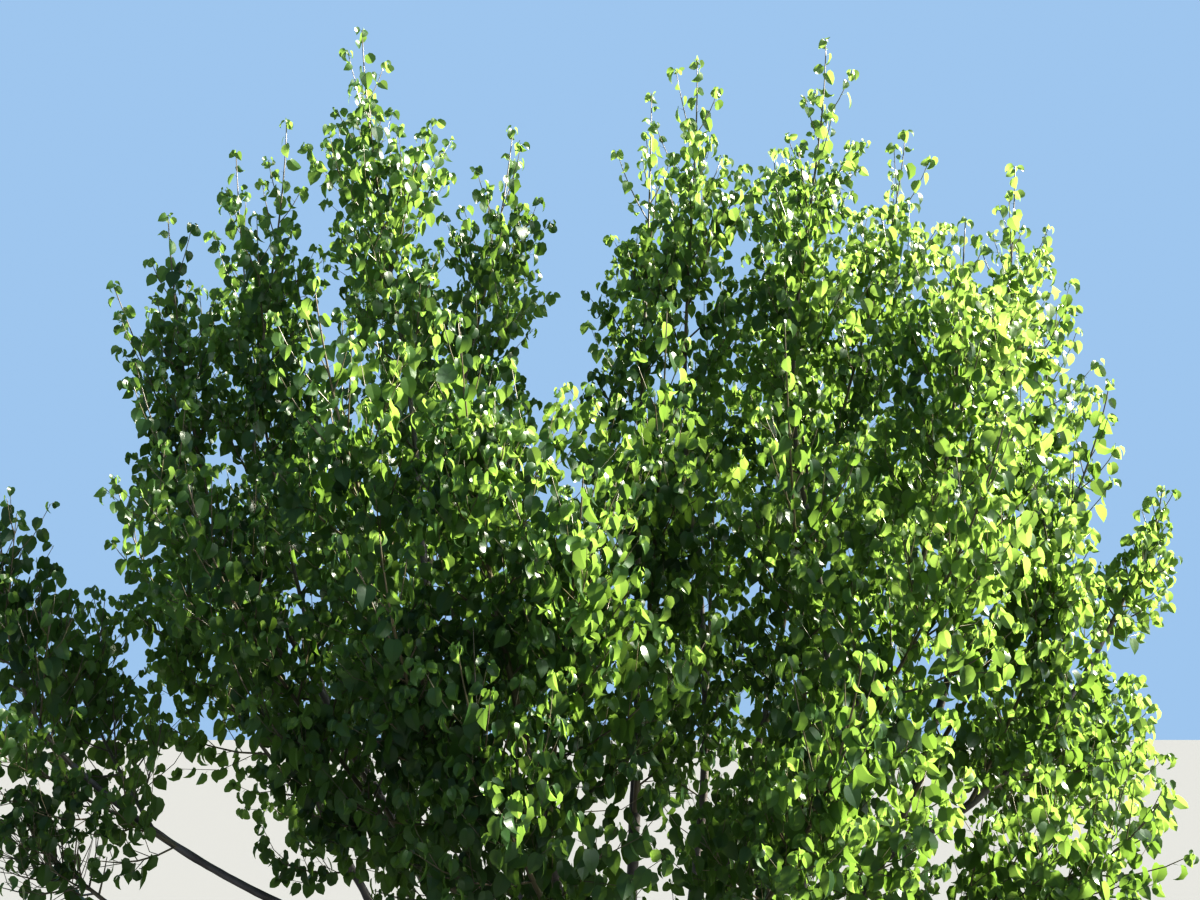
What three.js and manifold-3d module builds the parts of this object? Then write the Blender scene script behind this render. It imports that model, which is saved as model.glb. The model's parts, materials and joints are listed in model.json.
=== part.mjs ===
// A mahaleb cherry: one young tree about four metres tall, with many stems from one root crown.
// Units are millimetres, +Z is up, and the origin is the middle of the flat cut at ground level.
// +X is the tree's right and -Y its front. Each stem, bough and mass of foliage is one closed mesh.
import * as THREE from "three";
import { mergeVertices } from "three/addons/utils/BufferGeometryUtils.js";
import Module from "manifold-3d";

const wasm = await Module();
wasm.setup();

// The root crown: a short woody stool that all the stems leave
const CROWN_HEIGHT = 185;
const CROWN_RADIUS = 98; // at its waist
const FLARE_RADIUS = 150; // at the ground
const CROWN_SIDES = 18;
const ROOT_LOBES = 6; // buttresses where the roots leave
const LOBE_TURN = 0.6; // how far they are turned round, in radians
const OVAL = 0.4; // how strongly the crown is wider one way than the other, next to a buttress
const FOOT_RADIUS = 56; // from the tree's axis to where an outer stem starts
const FOOT_SHARE = 0.18; // of the way out to its knee, that a stem starts from the axis at most
const FOOT_HEIGHT = 130; // where a stem starts, inside the root crown

// Limbs
const CLEARANCE = 0.3; // between pieces that meet
const SMALLEST_EDGE = 0.05; // that a join or a cut leaves
const LIMB_STEPS = 7; // rings along a stem or bough
const STUB_STEPS = 1; // how many of a stem's steps belong to the root crown
const LIMB_SIDES = 6;
const FOOT_SWELL = 0.3; // how much a limb swells where it leaves what carries it
const SWELL_FADE = 14; // and how soon that fades along it

// Masses of foliage: side shoots leave one stem in a spiral and lean upwards
const SHOOT_COUNT = 24; // side shoots that the full rule gives each mass
const SHOOT_STRIDE = 6; // of each six, the first with room is made here, with larger leaves
const SHOOT_LOW = 0.06; // the first side shoot's place along the mass's stem, as a share
const SHOOT_HIGH = 0.84; // and the last's
const SHOOT_ANGLE_LOW = THREE.MathUtils.degToRad(66); // from the stem, at its foot
const SHOOT_ANGLE_HIGH = THREE.MathUtils.degToRad(25); // and at its tip
const GOLDEN_ANGLE = THREE.MathUtils.degToRad(137.5);
const SHOOT_RISE = 0.35; // how strongly a side shoot leans upwards
const SMALLER = [1, 0.8, 0.6]; // sizes of shoot and leaf that are tried where the space is tight
const TWIG_SIDES = 3;
const LEADER_STEPS = 4; // rings along a mass's stem
const LEADER_END = 0.91; // share of its curve where it stops for its last leaf
const LEADER_RADIUS = 12; // at its foot
const LEADER_SHARE = 0.7; // of its limb's radius, where it leaves the side, at most
const LEADER_TIP_RADIUS = 7;
const SHOOT_RADIUS = 6.5;
const SHOOT_TIP_RADIUS = 5;
const SHOOT_SHARE = 0.5; // of the stem's own radius that a side shoot's foot has at most

// Leaves, each of which stands for a spray of real ones
const LEAF_LENGTH = 245;
const LEAF_WIDTH = 0.8; // as a share of its length
const LEAF_WIDEST = 0.44; // where along it, as a share
const LEAF_THICKNESS = 8; // at its middle
const LEAF_FOOT = 2.4; // thickness of a side leaf's foot, which lies inside its twig
const LEAF_FOLD = 0.16; // how far its tip folds down, as a share of its length
const LEAF_ROLL = 0.6; // how far it may be turned about its own line, in radians
const LEAF_HANG = 0.9; // how steeply a side leaf hangs
const LEAF_END_DROOP = 0.35; // and how far a twig's last leaf droops
const LEAF_END_LEAN = 0.3; // how far a twig's last leaf leans off its line
const MOST_SUNK = 120; // cubic millimetres of a side leaf that its twig may hold, which is its foot
const STEEPEST_FLAT = 0.4; // a flat that faces up more than this bears no leaf
const SHOOT_LEAVES = [0.4, 0.8]; // places along a side shoot, which also ends in a leaf
const LEADER_LEAVES = [0.7]; // and along the mass's stem, which does too
const LEAF_NUMBERS = 8; // numbers kept for the leaves of one twig
const AXIS_POINTS = 24; // along a mass's stem, from which its space is measured
const SPACE_MARGIN = 8; // that a leaf keeps from the next mass's space
const LIMB_MARGIN = 2; // that a leaf or shoot keeps from a limb

// A stem passes its knee and ends at its top, where it enters its own mass of foliage.
// Its girth is its radius at its foot and at its top.
const STEMS = [
  { name: "stem_west_outer", knee: [-760, 200, 985], top: [-1150, 150, 1750], girth: [17, 9] },
  { name: "stem_west", knee: [-505, -100, 1030], top: [-950, -60, 1750], girth: [21, 10] },
  { name: "stem_west_inner", knee: [-355, -300, 1100], top: [-575, -180, 2250], girth: [27, 10] },
  { name: "stem_middle", knee: [100, 110, 1000], top: [130, 170, 1900], girth: [25, 12] },
  { name: "stem_middle_rear", knee: [310, 300, 970], top: [330, 250, 2200], girth: [20, 10] },
  { name: "stem_east_front", knee: [465, -400, 1100], top: [850, -400, 1800], girth: [19, 10] },
  { name: "stem_east_inner", knee: [690, 330, 1030], top: [720, 200, 2300], girth: [19, 10] },
  { name: "stem_east", knee: [850, 10, 1060], top: [1200, 50, 1900], girth: [20, 10] },
  { name: "stem_rear_east", knee: [450, 620, 1000], top: [720, 840, 1900], girth: [21, 10] },
  { name: "stem_rear_west", knee: [-300, 620, 1000], top: [-550, 820, 1850], girth: [19, 10] },
  { name: "stem_front", knee: [-80, -520, 950], top: [-190, -740, 1500], girth: [21, 11] },
  { name: "stem_low_west", knee: [-800, -330, 640], top: [-1420, -330, 1060], girth: [11, 6] },
];

// A low bough leaves the side of a stem at the given height.
const BOUGHS = [
  {
    name: "bough_west",
    from: "stem_west",
    height: 860,
    knee: [-1060, -260, 1100],
    top: [-1520, -390, 1440],
    girth: [14, 8],
  },
  {
    name: "bough_east",
    from: "stem_east",
    height: 1130,
    knee: [1290, -20, 1400],
    top: [1640, 10, 1810],
    girth: [12, 8],
  },
];

// A mass grows from the tip of its limb, or from its side at the given height, to its own tip.
// Its spread is a strong side shoot's length. Rise is how upright its tip ends, and leafy the share
// of its leaves that it has: both are 1 where not given.
const MASSES = [
  { name: "west_shoulder", from: "stem_west_outer", tip: [-1480, -100, 3250], spread: 420 },
  { name: "west_arch", from: "stem_west_outer", height: 1500, tip: [-1740, 120, 3080], spread: 360, rise: 0 },
  { name: "west_flank", from: "stem_west_outer", height: 980, tip: [-1760, 330, 2420], spread: 460 },
  { name: "west_peak", from: "stem_west", tip: [-1120, 0, 3650], spread: 460 },
  { name: "west_rear_peak", from: "stem_west", height: 1620, tip: [-1400, 330, 3690], spread: 420 },
  { name: "west_front_flank", from: "stem_west", height: 1200, tip: [-1430, -400, 2640], spread: 480 },
  { name: "west_front", from: "stem_west", height: 1050, tip: [-1120, -780, 2220], spread: 500 },
  { name: "tall_spire", from: "stem_west_inner", tip: [-865, 0, 4010], spread: 460 },
  { name: "west_saddle", from: "stem_west_inner", height: 1950, tip: [-320, 120, 3680], spread: 430 },
  { name: "front_west_high", from: "stem_west_inner", height: 1300, tip: [-780, -860, 2740], spread: 520 },
  { name: "front_west_low", from: "stem_west_inner", height: 1080, tip: [-520, -1160, 2000], spread: 500 },
  { name: "middle_peak", from: "stem_middle", tip: [200, 320, 3930], spread: 430 },
  { name: "front_middle_high", from: "stem_middle", height: 1250, tip: [190, -720, 2720], spread: 500 },
  { name: "middle_spire", from: "stem_middle_rear", tip: [350, -20, 3880], spread: 460 },
  { name: "rear_middle", from: "stem_middle_rear", height: 1150, tip: [500, 960, 3300], spread: 580 },
  { name: "east_spire", from: "stem_east_inner", tip: [840, 100, 4030], spread: 460 },
  { name: "east_rear_peak", from: "stem_east_inner", height: 1960, tip: [700, 540, 3800], spread: 460 },
  { name: "east_peak", from: "stem_east_inner", height: 2120, tip: [1150, 220, 3720], spread: 420 },
  { name: "front_east_high", from: "stem_east_inner", height: 1000, tip: [490, -920, 2600], spread: 560 },
  { name: "east_front_peak", from: "stem_east_front", tip: [1180, -320, 3140], spread: 460 },
  { name: "east_front_flank", from: "stem_east_front", height: 980, tip: [1080, -900, 2400], spread: 500 },
  { name: "front_east_low", from: "stem_east_front", height: 800, tip: [600, -1200, 1720], spread: 500 },
  { name: "east_shoulder", from: "stem_east", tip: [1545, 200, 3570], spread: 460 },
  { name: "east_flank", from: "stem_east", height: 1600, tip: [1700, 300, 3060], spread: 400 },
  { name: "east_front_shoulder", from: "stem_east", height: 1220, tip: [1630, -250, 2620], spread: 440 },
  { name: "east_tip", from: "bough_east", tip: [1930, 100, 2340], spread: 180, leafy: 0.9 },
  { name: "east_skirt", from: "bough_east", height: 1300, tip: [1430, -350, 2200], spread: 400 },
  { name: "east_skirt_rear", from: "bough_east", height: 1320, tip: [1800, 420, 1600], spread: 440 },
  { name: "east_skirt_low", from: "stem_east", height: 780, tip: [1580, -500, 1380], spread: 520 },
  { name: "rear_east", from: "stem_rear_east", tip: [920, 1020, 3380], spread: 520 },
  { name: "rear_east_flank", from: "stem_rear_east", height: 1500, tip: [1430, 760, 2900], spread: 520 },
  { name: "rear_west", from: "stem_rear_west", tip: [-820, 960, 3380], spread: 520 },
  { name: "rear_west_flank", from: "stem_rear_west", height: 1450, tip: [-1380, 780, 2860], spread: 520 },
  { name: "rear_saddle", from: "stem_rear_west", height: 1300, tip: [-180, 1280, 2620], spread: 520 },
  { name: "rear_east_skirt", from: "stem_rear_east", height: 850, tip: [1060, 1180, 1860], spread: 520 },
  { name: "rear_west_skirt", from: "stem_rear_west", height: 1080, tip: [-1080, 1120, 2050], spread: 520 },
  { name: "front_west", from: "stem_front", tip: [-380, -900, 2620], spread: 480 },
  { name: "front_middle", from: "stem_front", height: 1250, tip: [-40, -1080, 2180], spread: 480 },
  { name: "front_middle_low", from: "stem_front", height: 850, tip: [-330, -1160, 1740], spread: 460 },
  { name: "low_west_tip", from: "bough_west", tip: [-1800, -400, 2150], spread: 380, leafy: 0.6 },
  {
    name: "low_west_rear",
    from: "bough_west",
    height: 1250,
    tip: [-1780, 60, 1950],
    spread: 400,
    leafy: 0.6,
  },
  {
    name: "low_west_skirt",
    from: "bough_west",
    height: 1180,
    tip: [-1720, -520, 1600],
    spread: 400,
    leafy: 0.7,
  },
  { name: "west_inner_low", from: "stem_west_inner", height: 960, tip: [-1040, -560, 1760], spread: 420 },
  { name: "low_west_bare", from: "stem_low_west", tip: [-1640, -420, 1320], spread: 300, leafy: 0.22 },
  {
    name: "water_shoots",
    from: "stem_front",
    height: 420,
    tip: [-300, -200, 1740],
    spread: 340,
    rise: 2,
    leafy: 0.9,
  },
];

const UP = new THREE.Vector3(0, 0, 1);
const ACROSS = new THREE.Vector3(1, 0, 0);
const bark = new THREE.MeshStandardMaterial({ color: 0x6b6059, roughness: 0.85, metalness: 0 });
const foliage = new THREE.MeshStandardMaterial({ color: 0x5d8f2b, roughness: 0.5, metalness: 0 });

const lerp = THREE.MathUtils.lerp;
const place = (numbers) => new THREE.Vector3(...numbers);
const sum = (a, b, share = 1) => a.clone().addScaledVector(b, share);

// A repeatable number from 0 to 1 for each seed, index and use.
const USE = { vigour: 1, bare: 2, length: 4, roll: 5, turn: 6 };
function chance(seed, index, use) {
  let h = Math.imul(seed, 374761393) ^ Math.imul(index, 668265263) ^ Math.imul(use, 2246822519);
  h = Math.imul(h ^ (h >>> 15), 2246822519);
  h = Math.imul(h ^ (h >>> 13), 3266489917);
  return ((h ^ (h >>> 16)) >>> 0) / 2 ** 32;
}

// The direction at right angles to a tangent, turned round it by an angle.
function sideways(tangent, angle) {
  const normal = sum(ACROSS, tangent, -ACROSS.dot(tangent)).normalize();
  const binormal = tangent.clone().cross(normal);
  return normal.multiplyScalar(Math.cos(angle)).addScaledVector(binormal, Math.sin(angle));
}

// Solids
function solidOf(points, faces) {
  const geometry = new THREE.BufferGeometry().setFromPoints(points);
  geometry.setIndex(faces.flat());
  const merged = mergeVertices(geometry, 1e-4);
  return new wasm.Manifold(
    new wasm.Mesh({
      numProp: 3,
      vertProperties: merged.getAttribute("position").array,
      triVerts: new Uint32Array(merged.index.array),
    }),
  );
}

function geometryOf(solid) {
  const made = solid.getMesh();
  const geometry = new THREE.BufferGeometry();
  geometry.setAttribute("position", new THREE.BufferAttribute(made.vertProperties, 3));
  geometry.setIndex(new THREE.BufferAttribute(made.triVerts, 1));
  geometry.computeVertexNormals();
  return geometry;
}

// The largest single body: loose scraps, the walls of sealed hollows and the smallest edges are dropped.
function mainBody(solid) {
  const bodies = solid.simplify(SMALLEST_EDGE).decompose();
  return bodies.reduce((best, body) => (body.volume() > best.volume() ? body : best));
}

// A closed skin over rings of points. It ends in a point where one is given, and flat otherwise.
function loftOf(rings, point) {
  const sides = rings[0].length;
  const end = (rings.length - 1) * sides;
  const faces = [];
  for (let a = 0; a < end; a++) {
    const b = a % sides === sides - 1 ? a + 1 - sides : a + 1;
    faces.push([a, b, b + sides], [a, b + sides, a + sides]);
  }
  for (let k = 1; k < sides - 1; k++) faces.push([0, k + 1, k]);
  if (!point) {
    for (let k = 1; k < sides - 1; k++) faces.push([end, end + k, end + k + 1]);
    return solidOf(rings.flat(), faces);
  }
  for (let k = 0; k < sides; k++) faces.push([end + k, end + ((k + 1) % sides), end + sides]);
  return solidOf([...rings.flat(), point], faces);
}

// A tapering tube along a curve, over its steps first to last. Its first ring is set on by the gap,
// its corners are turned by the spin, and a leaf, where one is given, grows out of its last ring.
function tubeOf(curve, options) {
  const { steps, sides, radiusAt, first = 0, last = steps, gap = 0, end = 1, spin = 0, leaf } = options;
  const rings = [];
  for (let i = first; i <= last; i++) {
    const share = (end * i) / steps;
    const tangent = curve.getTangent(share);
    const middle = sum(curve.getPoint(share), tangent, i === first ? gap : 0);
    const radius = radiusAt(share);
    const corner = (k) => sum(middle, sideways(tangent, spin + (2 * Math.PI * k) / sides), radius);
    rings.push(Array.from({ length: sides }, (_, k) => corner(k)));
  }
  if (!leaf) return loftOf(rings);
  rings.push([leaf.ridge, leaf.left, leaf.right]);
  return loftOf(rings, leaf.tip);
}

// Whether a solid keeps clear of every one of the others.
function isClear(solid, others) {
  const box = solid.boundingBox();
  return others.every((other) => {
    const its = other.boundingBox();
    const apart = [0, 1, 2].some((axis) => box.min[axis] > its.max[axis] || box.max[axis] < its.min[axis]);
    return apart || solid.intersect(other).isEmpty();
  });
}

// A curve from a start to a top that passes through the knee between them.
function throughKnee(start, knee, top) {
  const lower = start.distanceTo(knee);
  const share = lower / (lower + knee.distanceTo(top));
  const control = knee
    .clone()
    .addScaledVector(start, -((1 - share) ** 2))
    .addScaledVector(top, -(share ** 2))
    .divideScalar(2 * share * (1 - share));
  return new THREE.QuadraticBezierCurve3(start, control, top);
}

// A stem's foot lies inside the root crown, on the side that the stem leans to.
function stemFoot(knee) {
  const reach = Math.hypot(knee.x, knee.y);
  const radius = Math.min(FOOT_RADIUS, FOOT_SHARE * reach);
  return new THREE.Vector3((radius * knee.x) / reach, (radius * knee.y) / reach, FOOT_HEIGHT);
}

// Where a limb's curve first reaches a height, as a share of it.
function shareAtHeight(curve, height) {
  const steps = 200;
  let i = 0;
  while (i < steps && curve.getPoint(i / steps).z < height) i++;
  return i / steps;
}

function radiusAlong([foot, tip], share) {
  return lerp(foot, tip, share) * (1 + FOOT_SWELL * Math.exp(-SWELL_FADE * share));
}

function tubeForLimb({ curve, girth }, options) {
  const { first = 0, last = LIMB_STEPS, gap = 0, extra = 0 } = options;
  const radiusAt = (share) => radiusAlong(girth, share) + extra;
  return tubeOf(curve, { steps: LIMB_STEPS, sides: LIMB_SIDES, radiusAt, first, last, gap });
}

const limbs = new Map();
const solids = []; // every piece, with its name and its material

for (const { name, knee, top, girth } of STEMS) {
  const curve = throughKnee(stemFoot(place(knee)), place(knee), place(top));
  const limb = { curve, girth };
  limb.solid = tubeForLimb(limb, { first: STUB_STEPS, gap: CLEARANCE });
  limb.stub = tubeForLimb(limb, { last: STUB_STEPS });
  limb.around = tubeForLimb(limb, { extra: CLEARANCE });
  limb.margin = tubeForLimb(limb, { extra: LIMB_MARGIN });
  limbs.set(name, limb);
  solids.push({ name, solid: limb.solid, material: bark });
}

// The root crown flares into its roots at the ground and carries each stem's stub.
function rootCrown(stubs) {
  const profile = [
    { height: 0, radius: FLARE_RADIUS, lobe: 0.16 },
    { height: 0.06 * CROWN_HEIGHT, radius: 0.88 * FLARE_RADIUS, lobe: 0.15 },
    { height: 0.2 * CROWN_HEIGHT, radius: 0.74 * FLARE_RADIUS, lobe: 0.11 },
    { height: 0.42 * CROWN_HEIGHT, radius: 1.04 * CROWN_RADIUS, lobe: 0.06 },
    { height: 0.68 * CROWN_HEIGHT, radius: CROWN_RADIUS, lobe: 0.03 },
    { height: 0.88 * CROWN_HEIGHT, radius: 0.82 * CROWN_RADIUS, lobe: 0.02 },
    { height: CROWN_HEIGHT, radius: 0.45 * CROWN_RADIUS, lobe: 0 },
  ];
  const rings = profile.map(({ height, radius, lobe }) =>
    Array.from({ length: CROWN_SIDES }, (_, k) => {
      const angle = (2 * Math.PI * k) / CROWN_SIDES;
      const swell = Math.cos(ROOT_LOBES * angle + LOBE_TURN) + OVAL * Math.cos(2 * angle);
      const reach = radius * (1 + lobe * swell);
      return new THREE.Vector3(reach * Math.cos(angle), reach * Math.sin(angle), height);
    }),
  );
  return mainBody(wasm.Manifold.union([loftOf(rings), ...stubs]));
}

const crown = rootCrown([...limbs.values()].map((limb) => limb.stub));
solids.unshift({ name: "root_crown", solid: crown, material: bark });

for (const { name, from, height, knee, top, girth } of BOUGHS) {
  const carrier = limbs.get(from);
  const start = carrier.curve.getPoint(shareAtHeight(carrier.curve, height));
  const limb = { curve: throughKnee(start, place(knee), place(top)), girth };
  limb.solid = mainBody(tubeForLimb(limb, {}).subtract(carrier.around));
  limb.around = tubeForLimb(limb, { extra: CLEARANCE });
  limb.margin = tubeForLimb(limb, { extra: LIMB_MARGIN });
  limbs.set(name, limb);
  solids.push({ name, solid: limb.solid, material: bark });
}

// A mass's stem leaves its limb's tip in line with it, or its side, and turns up to its own tip.
const HANDLE = 0.35; // of the way between them that each end's direction holds
const SIDE_LINE = 0.35; // how much of its limb's own direction a stem that leaves the side keeps
function massCurve({ from, height, tip, rise = 1 }) {
  const { curve } = limbs.get(from);
  const share = height ? shareAtHeight(curve, height) : 1;
  const start = curve.getPoint(share);
  const end = place(tip);
  const handle = HANDLE * start.distanceTo(end);
  const outward = sum(end, start, -1).normalize();
  const tangent = curve.getTangent(share);
  const first = height ? sum(outward, tangent, SIDE_LINE).normalize() : tangent;
  const last = sum(outward, UP, rise).normalize();
  return new THREE.CubicBezierCurve3(start, sum(start, first, handle), sum(end, last, -handle), end);
}

// How long a side shoot is for its place along the mass's stem, as a share of the spread: it
// swells from the mass's foot to its full length a fifth of the way up, and tapers to its tip.
function shootProfile(share) {
  const swelling = Math.min(1, 0.6 + 2 * share);
  const tapering = 1 - 0.72 * share ** 1.6;
  return swelling * tapering;
}

// The line of a side shoot, and its place along the mass's stem.
function shootLine(mass, index, smaller) {
  const share = lerp(SHOOT_LOW, SHOOT_HIGH, index / (SHOOT_COUNT - 1));
  const foot = mass.curve.getPoint(share);
  const tangent = mass.curve.getTangent(share);
  const side = sideways(tangent, mass.seed + index * GOLDEN_ANGLE);
  const angle = lerp(SHOOT_ANGLE_LOW, SHOOT_ANGLE_HIGH, share);
  const out = tangent.multiplyScalar(Math.cos(angle)).addScaledVector(side, Math.sin(angle));
  const vigour = lerp(0.5, 1.3, chance(mass.seed, index, USE.vigour));
  const length = mass.spread * shootProfile(share) * vigour * smaller;
  const end = sum(foot, sum(out, UP, SHOOT_RISE).normalize(), length);
  return { share, curve: new THREE.LineCurve3(foot, end) };
}

// The corners of a leaf: a low pyramid over a rim that folds down towards its tip.
function leafCorners(foot, along, face, length) {
  const across = face.clone().cross(along);
  const middle = sum(foot, along, LEAF_WIDEST * length);
  const half = (length * LEAF_WIDTH) / 2;
  return {
    ridge: sum(middle, face, LEAF_THICKNESS),
    left: sum(middle, across, -half),
    right: sum(middle, across, half),
    tip: sum(foot, along, length).addScaledVector(face, -LEAF_FOLD * length),
  };
}

const leafLength = (seed, number) => LEAF_LENGTH * lerp(0.85, 1.1, chance(seed, number, USE.length));

// The direction a leaf's upper side faces: as near to the wanted one as its own line allows.
function upperSide(along, wanted, seed, number) {
  const face = sum(wanted, along, -wanted.dot(along)).normalize();
  return face.applyAxisAngle(along, lerp(-LEAF_ROLL, LEAF_ROLL, chance(seed, number, USE.roll)));
}

// The direction that one of a twig's flats faces.
const flatDirection = (curve, share, spin, flat) =>
  sideways(curve.getTangent(share), spin + ((flat + 0.5) * 2 * Math.PI) / TWIG_SIDES);

// A leaf that hangs from one of a twig's flats, with its blunt foot inside the twig.
function sideLeaf(curve, share, side, seed, number, smaller) {
  const along = sum(side, UP, -LEAF_HANG).normalize();
  const face = upperSide(along, side, seed, number);
  const foot = curve.getPoint(share);
  const { ridge, left, right, tip } = leafCorners(foot, along, face, smaller * leafLength(seed, number));
  const above = sum(foot, face, LEAF_FOOT / 2);
  const below = sum(foot, face, -LEAF_FOOT / 2);
  const points = [above, below, left, right, tip, ridge];
  const [ABOVE, BELOW, LEFT, RIGHT, TIP, RIDGE] = points.keys();
  const faces = [
    [ABOVE, LEFT, RIDGE],
    [LEFT, TIP, RIDGE],
    [TIP, RIGHT, RIDGE],
    [RIGHT, ABOVE, RIDGE],
    [BELOW, RIGHT, LEFT],
    [LEFT, RIGHT, TIP],
    [BELOW, LEFT, ABOVE],
    [BELOW, ABOVE, RIGHT],
  ];
  return { points, solid: solidOf(points, faces) };
}

// The leaf that a twig ends in, and the spin that brings a corner of the twig under its ridge.
function endLeaf(curve, end, seed, number, smaller) {
  const foot = curve.getPoint(end);
  const tangent = curve.getTangent(end);
  const lean = sideways(tangent, 2 * Math.PI * chance(seed, number, USE.turn));
  const along = sum(tangent, lean, LEAF_END_LEAN).addScaledVector(UP, -LEAF_END_DROOP).normalize();
  const outward = foot.clone().setZ(0).normalize();
  const face = upperSide(along, outward.add(UP), seed, number);
  const spin = Math.atan2(face.dot(sideways(tangent, Math.PI / 2)), face.dot(sideways(tangent, 0)));
  return { leaf: leafCorners(foot, along, face, smaller * leafLength(seed, number)), spin, end };
}

const masses = MASSES.map((mass, i) => {
  const seed = i + 1;
  const curve = massCurve(mass);
  const limb = limbs.get(mass.from);
  const limbRadius = radiusAlong(limb.girth, mass.height ? shareAtHeight(limb.curve, mass.height) : 1);
  const foot = mass.height ? Math.min(LEADER_RADIUS, LEADER_SHARE * limbRadius) : limbRadius;
  const radiusAt = (share) => lerp(foot, LEADER_TIP_RADIUS, share);
  const ending = endLeaf(curve, LEADER_END, seed, 0, 1);
  const gap = mass.height ? 0 : CLEARANCE;
  const leader = tubeOf(curve, { ...ending, steps: LEADER_STEPS, sides: TWIG_SIDES, radiusAt, gap });
  return {
    ...mass,
    seed,
    curve,
    radiusAt,
    spin: ending.spin,
    axis: curve.getSpacedPoints(AXIS_POINTS),
    leader: mass.height ? mainBody(leader.subtract(limb.around)) : leader,
  };
});

const distanceTo = (axis, point) => Math.min(...axis.map((onAxis) => onAxis.distanceTo(point)));

// Whether every point lies in the mass's own space: nearer to its stem than to any other's.
function isInside(mass, points) {
  return points.every((point) => {
    const reach = distanceTo(mass.axis, point) + SPACE_MARGIN;
    return masses.every((other) => other === mass || distanceTo(other.axis, point) > reach);
  });
}

// What a leaf or a side shoot keeps clear of: the limbs, and the stems of the other masses.
const limbMargins = [crown, ...[...limbs.values()].map((limb) => limb.margin)];

// One mass: its stem, its side shoots and their leaves, joined. Done are the masses made before it.
function foliageSolid(mass, done) {
  const leaders = masses.filter((other) => other !== mass).map((other) => other.leader);
  const others = [...limbMargins, ...leaders, ...done];
  const twigs = [mass.leader];
  const leaves = [];
  const leafy = mass.leafy ?? 1;

  // Leaves at places along one twig, each on the first of its flats that is free.
  const addLeaves = (carrier, curve, places, spin, index) => {
    places.forEach((share, k) => {
      const number = index * LEAF_NUMBERS + k;
      if (chance(mass.seed, number, USE.bare) > leafy) return;
      const near = [...others, ...leaves, ...twigs.filter((twig) => twig !== carrier)];
      for (const smaller of SMALLER)
        for (let flat = number; flat < number + TWIG_SIDES; flat++) {
          const side = flatDirection(curve, share, spin, flat);
          if (side.z > STEEPEST_FLAT) continue;
          const leaf = sideLeaf(curve, share, side, mass.seed, number, smaller);
          const sunk = leaf.solid.intersect(carrier).volume();
          if (sunk > MOST_SUNK || !isInside(mass, leaf.points) || !isClear(leaf.solid, near)) continue;
          leaves.push(leaf.solid);
          return;
        }
    });
  };

  // One side shoot with its leaves, where it has room.
  const addShoot = (index, smaller) => {
    const { curve, share } = shootLine(mass, index, smaller);
    const ending = endLeaf(curve, 1, mass.seed, index, smaller);
    const foot = Math.min(SHOOT_RADIUS, SHOOT_SHARE * mass.radiusAt(share));
    const shoot = tubeOf(curve, {
      ...ending,
      steps: 1,
      sides: TWIG_SIDES,
      radiusAt: (along) => lerp(foot, Math.min(foot, SHOOT_TIP_RADIUS), along),
    });
    const points = [curve.getPoint(1), ...Object.values(ending.leaf)];
    const near = [...others, ...leaves, ...twigs.slice(1)];
    if (!isInside(mass, points) || !isClear(shoot, near)) return false;
    twigs.push(shoot);
    addLeaves(shoot, curve, SHOOT_LEAVES, ending.spin, index);
    return true;
  };

  const steps = [...Array(SHOOT_STRIDE).keys()];
  for (let first = 0; first < SHOOT_COUNT; first += SHOOT_STRIDE)
    SMALLER.some((smaller) => steps.some((step) => addShoot(first + step, smaller)));
  addLeaves(mass.leader, mass.curve, LEADER_LEAVES, mass.spin, SHOOT_COUNT);
  return mainBody(wasm.Manifold.union([...twigs, ...leaves]));
}

const made = [];
for (const mass of masses) {
  const solid = foliageSolid(mass, made);
  made.push(solid);
  solids.push({ name: `foliage_${mass.name}`, solid, material: foliage });
}

const cherry = new THREE.Group();
for (const { name, solid, material } of solids) {
  const mesh = new THREE.Mesh(geometryOf(solid), material);
  mesh.name = name;
  cherry.add(mesh);
}

export default cherry;
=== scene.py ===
"""A mahaleb cherry in summer leaf: bark, twigs and life-size leaves over the tree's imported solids.

Units are metres, +Z is up, and the origin is the middle of the flat cut at ground level. -Y is the
tree's front, and +X is to the right of someone who looks at it. The tables and the growth rule are those
of the solids' own source, carried on to finer twigs and to real leaves.
"""

import json
import math

import bmesh
import bpy
import numpy as np
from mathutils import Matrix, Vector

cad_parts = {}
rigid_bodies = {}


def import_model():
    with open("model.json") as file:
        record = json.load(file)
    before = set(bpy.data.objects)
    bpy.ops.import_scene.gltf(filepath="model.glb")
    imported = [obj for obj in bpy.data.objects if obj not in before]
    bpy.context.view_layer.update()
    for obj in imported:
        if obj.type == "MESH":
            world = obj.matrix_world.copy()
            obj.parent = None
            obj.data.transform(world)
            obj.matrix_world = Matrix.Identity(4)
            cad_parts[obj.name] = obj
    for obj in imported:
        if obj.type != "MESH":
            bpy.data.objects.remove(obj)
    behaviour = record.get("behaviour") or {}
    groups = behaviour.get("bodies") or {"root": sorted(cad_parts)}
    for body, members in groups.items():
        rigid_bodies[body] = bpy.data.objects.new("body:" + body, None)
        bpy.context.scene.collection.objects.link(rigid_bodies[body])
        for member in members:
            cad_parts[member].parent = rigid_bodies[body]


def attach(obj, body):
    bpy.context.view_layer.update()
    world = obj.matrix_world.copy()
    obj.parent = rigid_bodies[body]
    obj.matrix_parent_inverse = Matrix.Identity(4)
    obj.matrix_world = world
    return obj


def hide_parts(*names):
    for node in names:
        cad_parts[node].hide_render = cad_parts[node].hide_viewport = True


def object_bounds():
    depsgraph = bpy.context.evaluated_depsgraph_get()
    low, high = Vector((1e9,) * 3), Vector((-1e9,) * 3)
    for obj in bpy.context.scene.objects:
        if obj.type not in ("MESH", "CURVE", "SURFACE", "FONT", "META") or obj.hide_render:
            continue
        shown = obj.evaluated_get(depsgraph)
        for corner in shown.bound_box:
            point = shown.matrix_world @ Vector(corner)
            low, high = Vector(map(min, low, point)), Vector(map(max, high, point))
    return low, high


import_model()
cad_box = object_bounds()

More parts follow.
